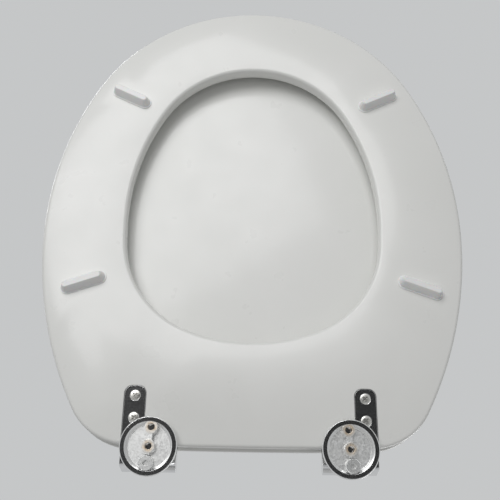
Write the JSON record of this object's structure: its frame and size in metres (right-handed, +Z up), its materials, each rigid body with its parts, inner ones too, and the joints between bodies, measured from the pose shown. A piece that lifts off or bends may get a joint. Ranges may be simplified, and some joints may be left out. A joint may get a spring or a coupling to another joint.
{
  "type": "toilet seat",
  "caption": "Oval toilet seat and lid on chromed hinges, with white bar buffers and swivelling base discs that screw down to the pan.",
  "frame": {"origin": "on the pan's top plane, midway between the middle stud holes of the two base discs", "axes": "+Z up from the pan, the seat's nose towards -Y, and +X to the right when the seat is seen from its nose"},
  "size_m": [0.374, 0.4445, 0.048],
  "materials": {
    "lacquer": "white gloss lacquer over fibreboard",
    "buffer_plastic": "soft white plastic",
    "chrome": "polished chrome plating over zinc",
    "screw_steel": "zinc plated",
    "nylon": "natural nylon"
  },
  "bodies": {
    "hinges": {"hinge_post_left": "chrome", "hinge_post_right": "chrome", "hinge_pin_left": "screw_steel", "hinge_pin_right": "screw_steel", "disc_screw_left": "screw_steel", "disc_screw_right": "screw_steel"},
    "seat": {"seat_ring": "lacquer", "seat_buffer_front_left": "buffer_plastic", "seat_buffer_front_right": "buffer_plastic", "seat_buffer_back_left": "buffer_plastic", "seat_buffer_back_right": "buffer_plastic", "seat_strap_left": "chrome", "seat_strap_right": "chrome", "seat_strap_screws_left": "screw_steel", "seat_strap_screws_right": "screw_steel", "seat_bush_left": "nylon", "seat_bush_right": "nylon"},
    "cover": {"lid": "lacquer", "lid_buffer_left": "buffer_plastic", "lid_buffer_right": "buffer_plastic", "lid_strap_left": "chrome", "lid_strap_right": "chrome", "lid_strap_screws_left": "screw_steel", "lid_strap_screws_right": "screw_steel", "lid_bush_left": "nylon", "lid_bush_right": "nylon"},
    "left_disc": {"base_disc_left": "chrome"},
    "right_disc": {"base_disc_right": "chrome"}
  },
  "joints": [
    {"name": "seat_lift", "type": "hinge", "parent": "hinges", "child": "seat", "pos_m": [0, 0.01243, 0.0245], "axis": [-1, 0, 0], "range_deg": [0, 90]},
    {"name": "lid_lift", "type": "hinge", "parent": "seat", "child": "cover", "pos_m": [0, 0.01243, 0.0245], "axis": [-1, 0, 0], "range_deg": [0, 90]},
    {"name": "left_disc_turn", "type": "hinge", "parent": "hinges", "child": "left_disc", "pos_m": [-0.08, 0.01243, 0.006], "axis": [0, 0, 1], "range_deg": [-15, 15]},
    {"name": "right_disc_turn", "type": "hinge", "parent": "hinges", "child": "right_disc", "pos_m": [0.08, 0.01243, 0.006], "axis": [0, 0, 1], "range_deg": [-15, 15]}
  ]
}
